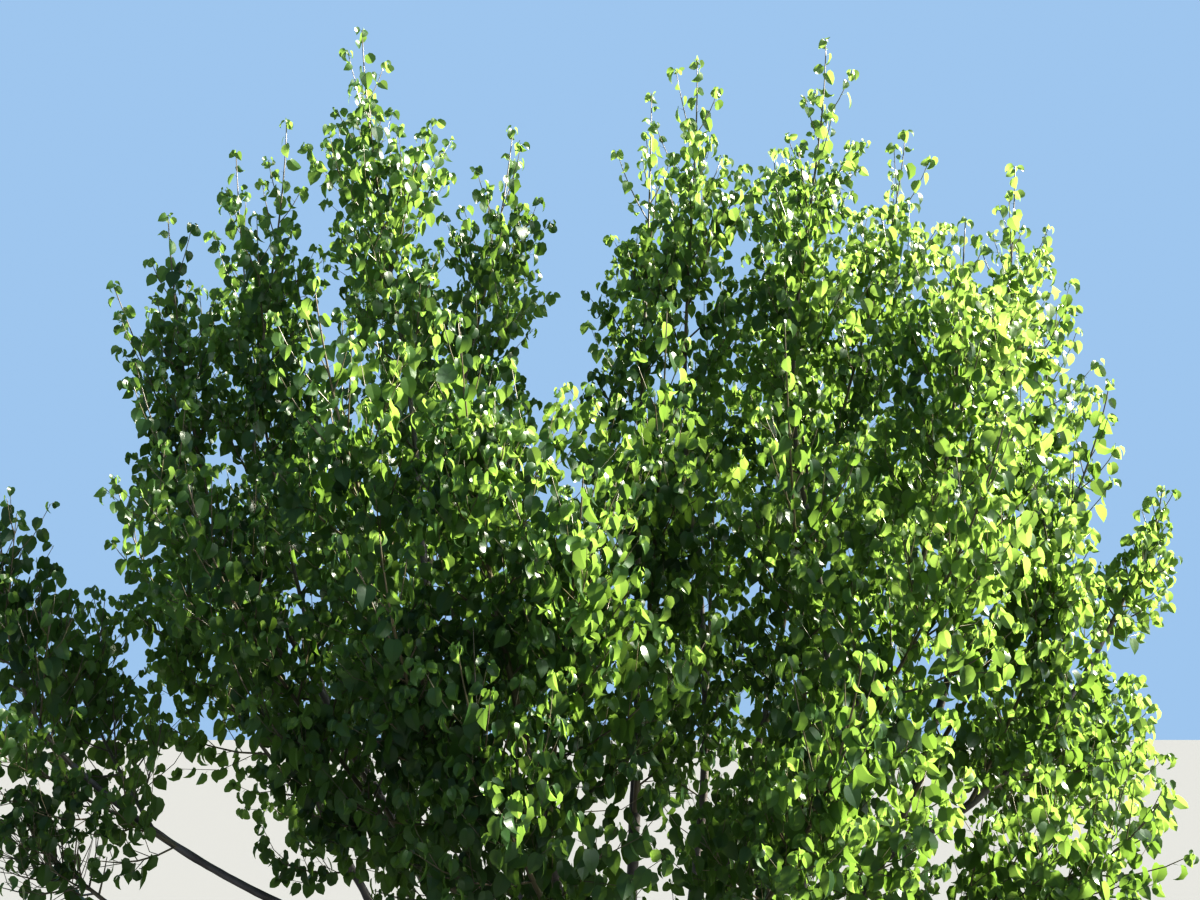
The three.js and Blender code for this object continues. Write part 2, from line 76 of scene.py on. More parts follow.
# The photograph's view
PHOTO_WIDTH_PX = 1200
FOCAL_LENGTH_PX = 1214
SENSOR_WIDTH = 36.0  # millimetres
CAMERA_PLACE = (0.0, -4.0, 1.6)
CAMERA_PITCH = math.radians(12)  # upwards
CLIP_END = 200

# The studio
FLOOR_SIZE = 120
FLOOR_HEIGHT = -0.0005  # just under the flat cut
FLOOR_COLOUR = (0.170, 0.170, 0.165)
BACKDROP_COLOUR = (0.46, 0.68, 0.96)
BACKDROP_STRENGTH = 0.64
SUNS = [
    # name, strength, width and colour, then its lean from straight down and its turn; angles in degrees
    ("key", 16.0, 3, (1.0, 0.95, 0.86), 56, 10),
    ("fill", 2.2, 60, (1.0, 1.0, 1.0), 65, -15),
]

# The root crown
CROWN_HEIGHT = 0.185
CROWN_RADIUS = 0.098  # at its waist
FLARE_RADIUS = 0.150  # at the ground
CROWN_SIDES = 96
CROWN_RINGS = 40
CROWN_ROWS = [
    # share of its height, radius there, and how far its lobes swell as a share of that
    (0.00, 1.00 * FLARE_RADIUS, 0.16),
    (0.06, 0.88 * FLARE_RADIUS, 0.15),
    (0.20, 0.74 * FLARE_RADIUS, 0.11),
    (0.42, 1.04 * CROWN_RADIUS, 0.06),
    (0.68, 1.00 * CROWN_RADIUS, 0.03),
    (0.88, 0.82 * CROWN_RADIUS, 0.02),
    (1.00, 0.45 * CROWN_RADIUS, 0.00),
]
ROOT_LOBES = 6  # buttresses where the roots leave
LOBE_TURN = 0.6  # how far they are turned round, in radians
OVAL = 0.4  # how strongly the crown is wider one way than the other, as a share of a lobe's swell
FOOT_RADIUS = 0.056  # from the tree's axis to where an outer stem starts
FOOT_SHARE = 0.18  # of the way out to its knee, that a stem starts from the axis at most
FOOT_HEIGHT = 0.130  # where a stem starts, inside the root crown
STUB_END = 1 / 7  # share of a stem's curve that belongs to the root crown
STUB_RINGS = 12
CROWN_SINK = 0.024  # how far its skin runs on below the ground before it is cut flat there
CROWN_VOXEL = 0.006
CROWN_SMOOTHING = 6

# Limbs
FOOT_SWELL = 0.3  # how much a limb swells where it leaves what carries it
SWELL_FADE = 14  # and how soon that fades along it
HEIGHT_STEPS = 200  # along a limb, to find where it reaches a height
LIMB_MARKS = 60  # points along a limb, to keep leaves clear of it
LENGTH_MARKS = 50  # points along it, to measure its length
LIMB_STEP = 0.020  # between rings
LIMB_SIDES = 20
COLLAR_SWELL = 0.16  # where a bough or a mass's stem leaves
COLLAR_LENGTH = 0.035
STEM_OVERLAP = 0.12  # share of its curve that a stem's bark runs down into the root crown's stub

# The bark's relief: how deep each kind of unevenness is, and how wide its lumps are
RELIEF_SEED = {"bend": 11, "swelling": 21, "wrinkle": 22, "ridge": 31, "lump": 32}
BEND_SHARE = 0.25  # of its radius, that a limb wanders off its curve
BEND_SIZE = 0.22
SWELLING_SHARE = 0.06  # of a limb's radius
SWELLING_SIZE = 0.05
WRINKLE_DEPTH = 0.0007
WRINKLE_SIZE = 0.009
WRINKLE_STRETCH = np.array([1, 1, 0.35])
RIDGE_DEPTH = 0.0032
RIDGE_SIZE = 0.016
RIDGE_STRETCH = np.array([1, 1, 0.3])
LUMP_DEPTH = 0.006
LUMP_SIZE = 0.06

# Masses of foliage: side shoots in a spiral on one stem
SHOOT_COUNT = 24
SHOOT_LOW = 0.06  # the first side shoot's place along the mass's stem, as a share
SHOOT_HIGH = 0.84  # and the last's
SHOOT_ANGLE_LOW = math.radians(66)  # from the stem, at its foot
SHOOT_ANGLE_HIGH = math.radians(25)  # and at its tip
GOLDEN_ANGLE = math.radians(137.5)
SHOOT_RISE = 0.35  # how strongly a side shoot leans upwards
SHOOT_VIGOUR = (0.5, 1.3)  # the least and the most of a side shoot's full length
SMALLER = (1, 0.8, 0.6, 0.4)  # sizes of shoot that are tried where the space is tight
PROFILE_FOOT = 0.6  # a side shoot's length at the foot of the mass's stem, as a share
PROFILE_SWELL = 2  # how soon the shoots grow longer up the stem
PROFILE_TAPER = 0.72  # how much shorter they are at its tip
PROFILE_POWER = 1.6  # the higher, the later they grow shorter
HANDLE = 0.35  # of the way between a stem's ends that each end's direction holds
SIDE_LINE = 0.35  # how much of its limb's own direction a stem that leaves the side keeps
LEADER_RADIUS = 0.012  # of a mass's stem at its foot
LEADER_SHARE = 0.7  # of its limb's radius, where it leaves the side, at most
LEADER_TIP_RADIUS = 0.0016
LEADER_TAPER = 0.9
LEADER_RINGS = 26
LEADER_SIDES = 7
SHOOT_RADIUS = 0.0036
SHOOT_TIP_RADIUS = 0.0011
SHOOT_SHARE = 0.6  # of the stem's own radius that a side shoot's foot has at most
SHOOT_RINGS = 5
SHOOT_SIDES = 4
AXIS_POINTS = 24  # along a mass's stem, from which its space is measured
SPACE_MARGIN = 0.008  # that a shoot keeps from the next mass's space

# The parts of the crown that are joined into one piece each, by where a mass's tip stands
FAR_REAR = 0.7  # from the middle to the front or rear, for a front or rear part
NEAR_MIDDLE = 0.6  # from the middle to a side, within which the middle part lies
FAR_SIDE = 1.3  # and from which a side part lies

# Finer twigs on the side shoots
TWIG_COUNT = 8
TWIG_LOW = 0.12
TWIG_HIGH = 0.8
TWIG_UNEVEN = 0.6  # of the way between two twigs, over which each one's place is spread
TWIG_PLACES = (0.1, 0.95)
TWIG_ANGLE = math.radians(44)
TWIG_RISE = 0.5
TWIG_VIGOUR = (0.4, 1.3)
TWIG_SHARE_LOW = 0.75  # a twig's length as a share of its shoot's, at the shoot's foot
TWIG_SHARE_HIGH = 0.35
SHORTEST_TWIG = 0.085
YOUNG_SHARE = 0.64  # of a mass's stem, above which its side shoots are this year's and bear no twigs
TWIG_RADIUS = 0.0016
TWIG_TIP_RADIUS = 0.0008
TWIG_RINGS = 3
TWIG_SIDES = 3

# Leaves
LEAF_LENGTH = 0.058  # of the blade
LEAF_SIZES = (0.8, 1.2)  # the smallest and the largest as shares of that
LEAF_CENTRE = 0.6  # where a leaf's middle lies, in blade lengths from its foot
PETIOLE_LENGTH = 0.019
PETIOLE_SIDES = 3
INTERNODE_LEADER = 0.044  # between leaves along a mass's stem
INTERNODE_SHOOT = 0.042  # along a side shoot
INTERNODE_TWIG = 0.035  # and along a fine twig
WHORL_LEAVES = 4  # that crowd in a drooping whorl at each tip
WHORL_STEP = 0.005  # between them
TIP_LEAF = 0.5  # size of a tip's newest leaf
TIP_GROWTH = 0.085  # and how much each leaf below it is larger, up to full size
LEADER_BARE = 0.45  # share of a mass's stem without leaves of its own, from its foot
SHOOT_BARE = 0.14
TWIG_BARE = 0.10
LEAVES_KEPT = 256  # numbers kept for the leaves of one twig
DRAWS_KEPT = 8  # and for the three draws of how one leaf is shaken
TWIG_MARKS = 9  # points along a twig, to measure its length
PETIOLE_RADIUS = 0.0008
LIMB_CLEARANCE = 0.012  # that a leaf's middle keeps from a limb as thick as its foot

# How a leaf stands: how strongly each direction counts for its petiole and its blade
LEAF_OUTWARD = 0.8  # away from the twig
OUTWARD_RISE = 0.45  # share of that direction's own rise that is kept
PETIOLE_FORWARD = (0.45, 0.75)  # along the twig, in a side leaf and in a tip's whorl
PETIOLE_RISE = 0.2
PETIOLE_SHAKE = 0.4
BLADE_HANG = (0.8, 2.6)  # downwards, the least and the most
WHORL_HANG = 0.5  # share of that in a whorl
BLADE_FORWARD = 0.1
BLADE_SHAKE = 0.5
BLADE_ROLL = 1.4  # about its own midrib, to either side, in radians
WHORL_FORM = 2  # the least bent form in a whorl
FORM_SHARE = 0.999  # keeps the number of a leaf's form below their count

# What makes a spray's leaves paler, and how much each thing counts. Young tips and chance are the leaves'
# own colour; height, reach and the sun's side are partly painted light, paler where the sun falls and
# deeper low down and inside, where shade falls.
FRESH_AND_LIT_HEIGHT = 0.46
FRESH_AND_LIT_OUTSIDE = 0.23
PAINTED_SUN_SIDE = 0.32  # painted light: paler on the side towards the sun, the more the higher up
FRESH_TIP = 0.12
FRESH_CHANCE = 0.5
FRESH_SHIFT = 0.2

# A stem passes its knee and ends at its top. Its girth is its radius at its foot and at its top.
STEMS = [
    ("stem_west_outer", (-0.760, 0.200, 0.985), (-1.150, 0.150, 1.750), (0.017, 0.009)),
    ("stem_west", (-0.505, -0.100, 1.030), (-0.950, -0.060, 1.750), (0.021, 0.010)),
    ("stem_west_inner", (-0.355, -0.300, 1.100), (-0.575, -0.180, 2.250), (0.027, 0.010)),
    ("stem_middle", (0.100, 0.110, 1.000), (0.130, 0.170, 1.900), (0.025, 0.012)),
    ("stem_middle_rear", (0.310, 0.300, 0.970), (0.330, 0.250, 2.200), (0.020, 0.010)),
    ("stem_east_front", (0.465, -0.400, 1.100), (0.850, -0.400, 1.800), (0.019, 0.010)),
    ("stem_east_inner", (0.690, 0.330, 1.030), (0.720, 0.200, 2.300), (0.019, 0.010)),
    ("stem_east", (0.850, 0.010, 1.060), (1.200, 0.050, 1.900), (0.020, 0.010)),
    ("stem_rear_east", (0.450, 0.620, 1.000), (0.720, 0.840, 1.900), (0.021, 0.010)),
    ("stem_rear_west", (-0.300, 0.620, 1.000), (-0.550, 0.820, 1.850), (0.019, 0.010)),
    ("stem_front", (-0.080, -0.520, 0.950), (-0.190, -0.740, 1.500), (0.021, 0.011)),
    ("stem_low_west", (-0.800, -0.330, 0.640), (-1.420, -0.330, 1.060), (0.011, 0.006)),
]

# A low bough leaves the side of a stem at the given height.
BOUGHS = [
    ("bough_west", "stem_west", 0.860, (-1.060, -0.260, 1.100), (-1.520, -0.390, 1.440), (0.014, 0.008)),
    ("bough_east", "stem_east", 1.130, (1.290, -0.020, 1.400), (1.640, 0.010, 1.810), (0.012, 0.008)),
]

# A mass grows from its limb's tip, or from its side at the given height, to its own tip.
# Then come its spread, and in some how upright its tip ends and what share of its leaves it has.
MASSES = [
    ("west_shoulder", "stem_west_outer", None, (-1.480, -0.100, 3.250), 0.420),
    ("west_arch", "stem_west_outer", 1.500, (-1.740, 0.120, 3.080), 0.360, 0),
    ("west_flank", "stem_west_outer", 0.980, (-1.760, 0.330, 2.420), 0.460),
    ("west_peak", "stem_west", None, (-1.120, 0.000, 3.650), 0.460),
    ("west_rear_peak", "stem_west", 1.620, (-1.400, 0.330, 3.690), 0.420),
    ("west_front_flank", "stem_west", 1.200, (-1.430, -0.400, 2.640), 0.480),
    ("west_front", "stem_west", 1.050, (-1.120, -0.780, 2.220), 0.500),
    ("tall_spire", "stem_west_inner", None, (-0.865, 0.000, 4.010), 0.460),
    ("west_saddle", "stem_west_inner", 1.950, (-0.320, 0.120, 3.680), 0.430),
    ("front_west_high", "stem_west_inner", 1.300, (-0.780, -0.860, 2.740), 0.520),
    ("front_west_low", "stem_west_inner", 1.080, (-0.520, -1.160, 2.000), 0.500),
    ("middle_peak", "stem_middle", None, (0.200, 0.320, 3.930), 0.430),
    ("front_middle_high", "stem_middle", 1.250, (0.190, -0.720, 2.720), 0.500),
    ("middle_spire", "stem_middle_rear", None, (0.350, -0.020, 3.880), 0.460),
    ("rear_middle", "stem_middle_rear", 1.150, (0.500, 0.960, 3.300), 0.580),
    ("east_spire", "stem_east_inner", None, (0.840, 0.100, 4.030), 0.460),
    ("east_rear_peak", "stem_east_inner", 1.960, (0.700, 0.540, 3.800), 0.460),
    ("east_peak", "stem_east_inner", 2.120, (1.150, 0.220, 3.720), 0.420),
    ("front_east_high", "stem_east_inner", 1.000, (0.490, -0.920, 2.600), 0.560),
    ("east_front_peak", "stem_east_front", None, (1.180, -0.320, 3.140), 0.460),
    ("east_front_flank", "stem_east_front", 0.980, (1.080, -0.900, 2.400), 0.500),
    ("front_east_low", "stem_east_front", 0.800, (0.600, -1.200, 1.720), 0.500),
    ("east_shoulder", "stem_east", None, (1.545, 0.200, 3.570), 0.460),
    ("east_flank", "stem_east", 1.600, (1.700, 0.300, 3.060), 0.400),
    ("east_front_shoulder", "stem_east", 1.220, (1.630, -0.250, 2.620), 0.440),
    ("east_tip", "bough_east", None, (1.930, 0.100, 2.340), 0.180, 1, 0.9),
    ("east_skirt", "bough_east", 1.300, (1.430, -0.350, 2.200), 0.400),
    ("east_skirt_rear", "bough_east", 1.320, (1.800, 0.420, 1.600), 0.440),
    ("east_skirt_low", "stem_east", 0.780, (1.580, -0.500, 1.380), 0.520),
    ("rear_east", "stem_rear_east", None, (0.920, 1.020, 3.380), 0.520),
    ("rear_east_flank", "stem_rear_east", 1.500, (1.430, 0.760, 2.900), 0.520),
    ("rear_west", "stem_rear_west", None, (-0.820, 0.960, 3.380), 0.520),
    ("rear_west_flank", "stem_rear_west", 1.450, (-1.380, 0.780, 2.860), 0.520),
    ("rear_saddle", "stem_rear_west", 1.300, (-0.180, 1.280, 2.620), 0.520),
    ("rear_east_skirt", "stem_rear_east", 0.850, (1.060, 1.180, 1.860), 0.520),
    ("rear_west_skirt", "stem_rear_west", 1.080, (-1.080, 1.120, 2.050), 0.520),
    ("front_west", "stem_front", None, (-0.380, -0.900, 2.620), 0.480),
    ("front_middle", "stem_front", 1.250, (-0.040, -1.080, 2.180), 0.480),
    ("front_middle_low", "stem_front", 0.850, (-0.330, -1.160, 1.740), 0.460),
    ("low_west_tip", "bough_west", None, (-1.800, -0.400, 2.150), 0.380, 1, 0.6),
    ("low_west_rear", "bough_west", 1.250, (-1.780, 0.060, 1.950), 0.400, 1, 0.6),
    ("low_west_skirt", "bough_west", 1.180, (-1.720, -0.520, 1.600), 0.400, 1, 0.7),
    ("west_inner_low", "stem_west_inner", 0.960, (-1.040, -0.560, 1.760), 0.420),
    ("low_west_bare", "stem_low_west", None, (-1.640, -0.420, 1.320), 0.300, 1, 0.22),
    ("water_shoots", "stem_front", 0.420, (-0.300, -0.200, 1.740), 0.340, 2, 0.9),
]

UP = np.array([0.0, 0.0, 1.0])
ACROSS = np.array([1.0, 0.0, 0.0])
FORWARD = np.array([0.0, 1.0, 0.0])
NEAR_ACROSS = 0.7  # a direction that runs across more than this is measured from FORWARD

# Repeatable chance: a 32-bit hash of a seed, an index and a use
WORD_BITS = 32
WORD_MASK = 2**WORD_BITS - 1
SEED_FACTOR = 374761393
INDEX_FACTOR = 668265263
USE_FACTOR = 2246822519
HASH_ROUNDS = [(15, 2246822519), (13, 3266489917)]  # shift and factor
LAST_SHIFT = 16
CELL_FACTORS = np.array([73856093, 19349663, 83492791])  # for a cell's three numbers
USE = {
    "vigour": 1,
    "bare": 2,
    "length": 4,
    "roll": 5,
    "turn": 6,
    "shade": 7,
    "form": 8,
    "drift": 9,
    "lift": 10,
}


# Numbers and directions
def chance(seed, index, use):
    """A repeatable number from 0 to 1 for each seed, index and use."""

    def times(number, factor):
        return (np.asarray(number).astype(np.uint64) * np.uint64(factor)) & np.uint64(WORD_MASK)

    mixed = times(seed, SEED_FACTOR) ^ times(index, INDEX_FACTOR) ^ times(use, USE_FACTOR)
    for shift, factor in HASH_ROUNDS:
        mixed = times(mixed ^ (mixed >> np.uint64(shift)), factor)
    return (mixed ^ (mixed >> np.uint64(LAST_SHIFT))) / 2.0**WORD_BITS


def lerp(start, end, share):
    return start + (end - start) * share


def unit(vectors):
    return vectors / np.maximum(np.linalg.norm(vectors, axis=-1, keepdims=True), 1e-9)


def dot(a, b):
    return np.sum(a * b, axis=-1, keepdims=True)


def reference_for(directions):
    """A direction well off each given one, from which turns round it are measured."""
    return np.where(np.abs(directions[:, :1]) > NEAR_ACROSS, FORWARD, ACROSS)


def sideways(tangent, angle, reference=ACROSS):
    """The direction at right angles to each tangent, turned round it by an angle."""
    normal = unit(reference - dot(tangent, reference) * tangent)
    binormal = np.cross(tangent, normal)
    angle = np.asarray(angle)[..., None]
    return normal * np.cos(angle) + binormal * np.sin(angle)


def bezier(controls, shares):
    """Points of Bezier curves: controls (..., K, 3) and shares (..., S) give (..., S, 3)."""
    points = controls[..., None, :, :]
    shares = shares[..., :, None, None]
    while points.shape[-2] > 1:
        points = points[..., :-1, :] * (1 - shares) + points[..., 1:, :] * shares
    return points[..., 0, :]


def tangents(controls, shares):
    return unit(bezier(np.diff(controls, axis=-2), shares))


def noise(points, size, seed):
    """Smooth repeatable noise from -1 to 1 over space, with lumps of about the given size."""
    cells = points / size
    low = np.floor(cells)
    part = cells - low
    part = part * part * (3 - 2 * part)
    low = low.astype(np.int64)
    total = np.zeros(points.shape[:-1])
    for corner in np.ndindex(2, 2, 2):
        at = low + corner
        mixed = np.bitwise_xor.reduce(at * CELL_FACTORS, axis=-1) & WORD_MASK
        weight = np.prod(np.where(corner, part, 1 - part), axis=-1)
        total += weight * chance(seed, mixed, USE["drift"])
    return 2 * total - 1


# Meshes from arrays
def mesh_object(name, vertices, triangles, materials, material_index=None, sharp=None, uv=None):
    """One smooth mesh object. Sharp marks vertices whose joining edges stay creased."""
    mesh = bpy.data.meshes.new(name)
    mesh.vertices.add(len(vertices))
    mesh.vertices.foreach_set("co", np.ascontiguousarray(vertices, np.float32).ravel())
    mesh.loops.add(3 * len(triangles))
    mesh.loops.foreach_set("vertex_index", np.ascontiguousarray(triangles, np.int32).ravel())
    mesh.polygons.add(len(triangles))
    mesh.polygons.foreach_set("loop_start", np.arange(0, 3 * len(triangles), 3, dtype=np.int32))
    mesh.polygons.foreach_set("use_smooth", np.ones(len(triangles), bool))
    for material in materials:
        mesh.materials.append(material)
    if material_index is not None:
        mesh.polygons.foreach_set("material_index", np.ascontiguousarray(material_index, np.int32))
    mesh.update(calc_edges=True)
    if sharp is not None:
        ends = np.empty(2 * len(mesh.edges), np.int32)
        mesh.edges.foreach_get("vertices", ends)
        mesh.edges.foreach_set("use_edge_sharp", sharp[ends.reshape(-1, 2)].all(axis=1))
    if uv is not None:
        layer = mesh.uv_layers.new(name="bark")
        layer.data.foreach_set("uv", np.ascontiguousarray(uv[triangles.ravel()], np.float32).ravel())
    made = bpy.data.objects.new(name, mesh)
    bpy.context.scene.collection.objects.link(made)
    return made


def ring_walls(rings, sides):
    """Triangles between rings of vertices that follow one another."""
    here = np.arange((rings - 1) * sides)
    after = here - here % sides + (here + 1) % sides
    lower = np.stack([here, after, after + sides], 1)
    upper = np.stack([here, after + sides, here + sides], 1)
    return np.concatenate([lower, upper])


def ring_fan(first, sides, point, downwards=False):
    """Triangles from the ring that starts at a vertex to one point."""
    here = first + np.arange(sides)
    after = first + (np.arange(sides) + 1) % sides
    ends = [after, here] if downwards else [here, after]
    return np.stack([*ends, np.full(sides, point)], 1)


def tube_arrays(paths, radii, sides):
    """Vertices and triangles of tapering tubes along paths (N, P, 3), each closed by a point."""
    count, rings = paths.shape[:2]
    tangent = unit(np.gradient(paths, axis=1))
    whole = unit(paths[:, -1] - paths[:, 0])
    reference = reference_for(whole)[:, None, None]
    angles = np.broadcast_to(2 * np.pi * np.arange(sides) / sides, (count, rings, sides))
    corners = sideways(tangent[:, :, None], angles, reference)
    skin = paths[:, :, None] + radii[..., None, None] * corners
    tips = paths[:, -1] + tangent[:, -1] * radii[:, -1:]
    vertices = np.concatenate([skin.reshape(count, -1, 3), tips[:, None]], axis=1)
    one = np.concatenate([ring_walls(rings, sides), ring_fan((rings - 1) * sides, sides, rings * sides)])
    stride = rings * sides + 1
    triangles = one[None] + (np.arange(count) * stride)[:, None, None]
    return vertices.reshape(-1, 3), triangles.reshape(-1, 3)


def joined(parts):
    """Several (vertices, triangles) as one."""
    offsets = np.cumsum([0] + [len(vertices) for vertices, _ in parts[:-1]])
    return (
        np.concatenate([vertices for vertices, _ in parts]),
        np.concatenate([triangles + offset for (_, triangles), offset in zip(parts, offsets)]),
    )


# Materials
CLOUDS = (14, 6)  # scale per metre and detail, as in the other noises
CLOUD_RANGE = (0.35, 0.65)  # of the noise, over which dark bark turns pale
PORE_SCALE = (90, 330, 1)  # round the limb and along it
PORE_RANGE = (0.28, 0.12)  # distance from a pore's middle, from its edge to its core
GRAIN = (160, 8)
TWIG_CLOUDS = (5, 4)
VEINS = (110, 2)
BARK_BUMP = (0.5, 0.0012)  # strength and depth
LEAF_BUMP = (0.2, 0.002)
LEAF_ROUGHNESS = 0.34


def new_material(name):
    material = bpy.data.materials.new(name)
    material.use_nodes = True
    nodes = material.node_tree.nodes
    nodes.clear()
    output = nodes.new("ShaderNodeOutputMaterial")
    return material, nodes, material.node_tree.links, output


def add_noise(nodes, links, place, scale, detail):
    """Noise over the object's own space."""
    texture = nodes.new("ShaderNodeTexNoise")
    texture.inputs["Scale"].default_value = scale
    texture.inputs["Detail"].default_value = detail
    links.new(place.outputs["Object"], texture.inputs["Vector"])
    return texture.outputs["Fac"]


def add_range(nodes, links, value, low, high):
    """A value that runs from 0 at the low mark to 1 at the high one."""
    spread = nodes.new("ShaderNodeMapRange")
    spread.inputs["From Min"].default_value = low
    spread.inputs["From Max"].default_value = high
    links.new(value, spread.inputs["Value"])
    return spread.outputs["Result"]


def add_math(nodes, links, operation, value, other):
    """A sum or product with another value, which is a node's or a plain number."""
    step = nodes.new("ShaderNodeMath")
    step.operation = operation
    links.new(value, step.inputs[0])
    if isinstance(other, float):
        step.inputs[1].default_value = other
    else:
        links.new(other, step.inputs[1])
    return step.outputs[0]


def add_bump(nodes, links, height, strength_and_depth, shader):
    strength, depth = strength_and_depth
    bump = nodes.new("ShaderNodeBump")
    bump.inputs["Strength"].default_value = strength
    bump.inputs["Distance"].default_value = depth
    links.new(height, bump.inputs["Height"])
    links.new(bump.outputs["Normal"], shader.inputs["Normal"])


def add_mix(nodes, links, factor, first, second):
    """A colour between two others. The first is a node's or a plain colour."""
    mix = nodes.new("ShaderNodeMix")
    mix.data_type = "RGBA"
    if isinstance(first, tuple):
        mix.inputs["A"].default_value = (*first, 1)
    else:
        links.new(first, mix.inputs["A"])
    mix.inputs["B"].default_value = (*second, 1)
    links.new(factor, mix.inputs["Factor"])
    return mix.outputs["Result"]


def bark_material(name, dark, pale, pore, pore_amount, roughness):
    """Smooth young cherry bark: cloudy grey-brown with short pale breathing pores across the limb."""
    material, nodes, links, output = new_material(name)
    shader = nodes.new("ShaderNodeBsdfPrincipled")
    links.new(shader.outputs[0], output.inputs[0])
    place = nodes.new("ShaderNodeTexCoord")
    clouds = add_range(nodes, links, add_noise(nodes, links, place, *CLOUDS), *CLOUD_RANGE)
    tone = add_mix(nodes, links, clouds, dark, pale)

    # The pores are longer round the limb than along it, so the pattern follows the limb's own map.
    stretch = nodes.new("ShaderNodeMapping")
    stretch.inputs["Scale"].default_value = PORE_SCALE
    links.new(place.outputs["UV"], stretch.inputs["Vector"])
    pores = nodes.new("ShaderNodeTexVoronoi")
    pores.inputs["Scale"].default_value = 1
    links.new(stretch.outputs["Vector"], pores.inputs["Vector"])
    spots = add_range(nodes, links, pores.outputs["Distance"], *PORE_RANGE)
    pale_spots = add_math(nodes, links, "MULTIPLY", spots, pore_amount)
    links.new(add_mix(nodes, links, pale_spots, tone, pore), shader.inputs["Base Color"])
    shader.inputs["Roughness"].default_value = roughness

    grain = add_noise(nodes, links, place, *GRAIN)
    add_bump(nodes, links, add_math(nodes, links, "ADD", grain, spots), BARK_BUMP, shader)
    return material


def twig_material(name, young, old, roughness):
    """Thin twigs: green-brown where the noise is high and grey-brown where it is low."""
    material, nodes, links, output = new_material(name)
    shader = nodes.new("ShaderNodeBsdfPrincipled")
    links.new(shader.outputs[0], output.inputs[0])
    place = nodes.new("ShaderNodeTexCoord")
    clouds = add_noise(nodes, links, place, *TWIG_CLOUDS)
    links.new(add_mix(nodes, links, clouds, old, young), shader.inputs["Base Color"])
    shader.inputs["Roughness"].default_value = roughness
    return material


def leaf_material(name, colour, glow, through):
    """A glossy leaf: its own plain colour in front light, and a yellower glow with the light behind."""
    material, nodes, links, output = new_material(name)
    front = nodes.new("ShaderNodeBsdfPrincipled")
    front.inputs["Base Color"].default_value = (*colour, 1)
    front.inputs["Roughness"].default_value = LEAF_ROUGHNESS
    behind = nodes.new("ShaderNodeBsdfTranslucent")
    behind.inputs["Color"].default_value = (*glow, 1)
    mix = nodes.new("ShaderNodeMixShader")
    mix.inputs["Fac"].default_value = through
    links.new(front.outputs[0], mix.inputs[1])
    links.new(behind.outputs[0], mix.inputs[2])
    links.new(mix.outputs[0], output.inputs[0])

    # Faint swellings like those between veins
    place = nodes.new("ShaderNodeTexCoord")
    add_bump(nodes, links, add_noise(nodes, links, place, *VEINS), LEAF_BUMP, front)
    return material


bark = bark_material("bark", (0.062, 0.051, 0.047), (0.145, 0.130, 0.123), (0.22, 0.18, 0.145), 0.7, 0.55)
twig_bark = twig_material("twig_bark", (0.150, 0.138, 0.078), (0.115, 0.085, 0.069), 0.36)
# Five leaf colours from deep to pale. Besides the leaves' own variation, they are dealt partly as painted
# light: paler on the sun's side and high up, deeper low down and inside, where shade falls.
LEAF_SHADES = [
    leaf_material("leaf_deep", (0.023, 0.054, 0.025), (0.135, 0.225, 0.042), 0.44),
    leaf_material("leaf_dark", (0.032, 0.071, 0.029), (0.190, 0.305, 0.056), 0.46),
    leaf_material("leaf_green", (0.047, 0.095, 0.035), (0.255, 0.390, 0.082), 0.48),
    leaf_material("leaf_fresh_and_sunlit", (0.080, 0.143, 0.046), (0.310, 0.450, 0.104), 0.50),
    leaf_material("leaf_young_and_sunlit", (0.110, 0.176, 0.057), (0.355, 0.495, 0.132), 0.52),
]


# Limbs
def through_knee(start, knee, top):
    """The quadratic Bezier from a start to a top that passes through the knee between them."""
    start, knee, top = map(np.array, (start, knee, top))
    lower = np.linalg.norm(knee - start)
    share = lower / (lower + np.linalg.norm(top - knee))
    control = (knee - (1 - share) ** 2 * start - share**2 * top) / (2 * share * (1 - share))
    return np.array([start, control, top])


def stem_foot(knee):
    reach = math.hypot(knee[0], knee[1])
    radius = min(FOOT_RADIUS, FOOT_SHARE * reach)
    return (radius * knee[0] / reach, radius * knee[1] / reach, FOOT_HEIGHT)


def share_at_height(controls, height):
    """Where a limb's curve first reaches a height."""
    heights = bezier(controls, np.arange(HEIGHT_STEPS + 1) / HEIGHT_STEPS)[:, 2]
    return int(np.argmax(heights >= height)) / HEIGHT_STEPS


def radius_along(girth, share):
    return lerp(girth[0], girth[1], share) * (1 + FOOT_SWELL * np.exp(-SWELL_FADE * share))


limbs = {}
for name, knee, top, girth in STEMS:
    limbs[name] = {"curve": through_knee(stem_foot(knee), knee, top), "girth": girth, "collars": []}
for name, carrier, height, knee, top, girth in BOUGHS:
    share = share_at_height(limbs[carrier]["curve"], height)
    start = bezier(limbs[carrier]["curve"], np.array([share]))[0]
    limbs[name] = {"curve": through_knee(start, knee, top), "girth": girth, "collars": []}
    limbs[carrier]["collars"].append(share)


# Masses
def make_mass(number, row):
    name, carrier, height, tip, spread, *rest = row
    rise = rest[0] if rest else 1
    limb = limbs[carrier]
    share = share_at_height(limb["curve"], height) if height else 1.0
    start = bezier(limb["curve"], np.array([share]))[0]
    tangent = tangents(limb["curve"], np.array([share]))[0]
    end = np.array(tip)
    handle = HANDLE * np.linalg.norm(end - start)
    outward = unit(end - start)
    first = unit(outward + SIDE_LINE * tangent) if height else tangent
    last = unit(outward + rise * UP)
    radius = radius_along(limb["girth"], share)
    if height:
        limb["collars"].append(share)
    return {
        "name": name,
        "seed": number + 1,
        "curve": np.array([start, start + handle * first, end - handle * last, end]),
        "foot": min(LEADER_RADIUS, LEADER_SHARE * radius) if height else radius,
        "spread": spread,
        "leafy": rest[1] if len(rest) > 1 else 1.0,
        "tip": end,
    }


masses = [make_mass(number, row) for number, row in enumerate(MASSES)]
curves = np.stack([mass["curve"] for mass in masses])
seeds = np.array([mass["seed"] for mass in masses])
spreads = np.array([mass["spread"] for mass in masses])
feet = np.array([mass["foot"] for mass in masses])
leafiness = np.array([mass["leafy"] for mass in masses])


